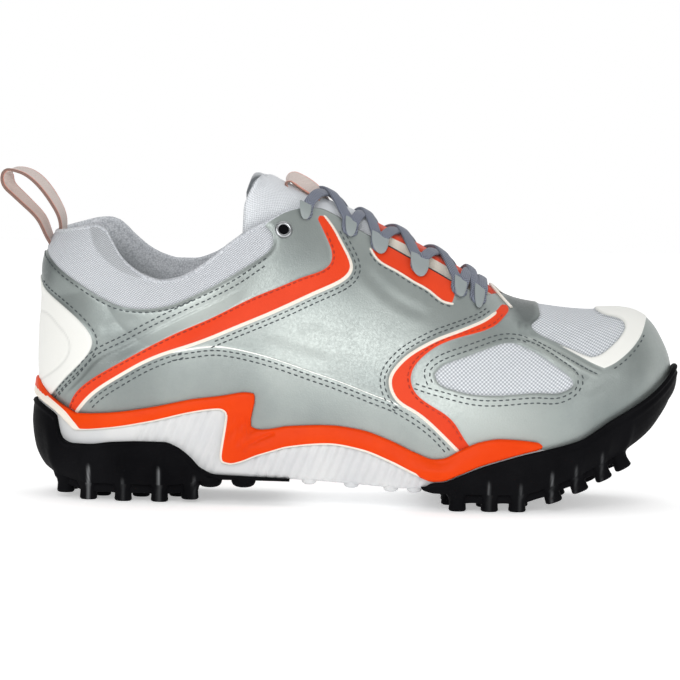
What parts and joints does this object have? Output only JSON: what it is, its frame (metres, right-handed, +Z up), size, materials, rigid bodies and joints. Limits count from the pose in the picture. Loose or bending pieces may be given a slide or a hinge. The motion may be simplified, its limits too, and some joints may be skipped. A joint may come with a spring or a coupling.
{
  "type": "turf shoe",
  "caption": "Low-cut lace-up turf sports shoe for the right foot with a padded collar, overlaid upper and a cup sole carrying short rubber studs.",
  "frame": {"origin": "middle of the bounding box in plan, on the floor under the studs", "axes": "+X along the shoe from heel to toe, +Y to the medial side, +Z up"},
  "size_m": [0.3106, 0.1057, 0.1512],
  "materials": {
    "silver_leather": "metallic silver synthetic leather, satin, finely grained",
    "white_leather": "white synthetic leather, satin",
    "orange_film": "orange synthetic leather with a cream edge, satin",
    "orange_plastic": "moulded orange plastic, semi-gloss",
    "white_foam": "moulded white foam, satin skin",
    "black_rubber": "moulded black rubber, semi-matte",
    "grey_mesh": "pale grey padded textile",
    "lining": "grey knitted lining",
    "grey_webbing": "woven grey lace and tape",
    "pale_webbing": "pale woven tape with orange edges",
    "nickel": "bright metal"
  },
  "bodies": {
    "root": {"upper": "silver_leather", "toe_cap": "silver_leather", "saddle_lateral": "silver_leather", "saddle_medial": "silver_leather", "eyestay_lateral": "silver_leather", "eyestay_medial": "silver_leather", "heel_patch": "white_leather", "stripe_rear_lateral": "orange_film", "stripe_rear_medial": "orange_film", "stripe_fore_lateral": "orange_film", "stripe_fore_medial": "orange_film", "frame": "orange_plastic", "midsole": "white_foam", "outsole_heel": "black_rubber", "outsole_forefoot": "black_rubber", "tongue": "grey_mesh", "insole": "lining", "lace_bar": "grey_webbing", "lace_cross_1": "grey_webbing", "lace_cross_2": "grey_webbing", "lace_cross_3": "grey_webbing", "lace_cross_4": "grey_webbing", "lace_cross_5": "grey_webbing", "lace_tab_lateral_1": "grey_webbing", "lace_tab_lateral_2": "grey_webbing", "lace_tab_lateral_3": "grey_webbing", "lace_tab_lateral_4": "grey_webbing", "lace_tab_lateral_5": "grey_webbing", "lace_tab_lateral_6": "grey_webbing", "lace_tab_medial_1": "grey_webbing", "lace_tab_medial_2": "grey_webbing", "lace_tab_medial_3": "grey_webbing", "lace_tab_medial_4": "grey_webbing", "lace_tab_medial_5": "grey_webbing", "lace_tab_medial_6": "grey_webbing", "pull_loop": "pale_webbing", "tongue_loop": "pale_webbing", "eyelet_lateral": "nickel", "eyelet_medial": "nickel"}
  },
  "joints": []
}
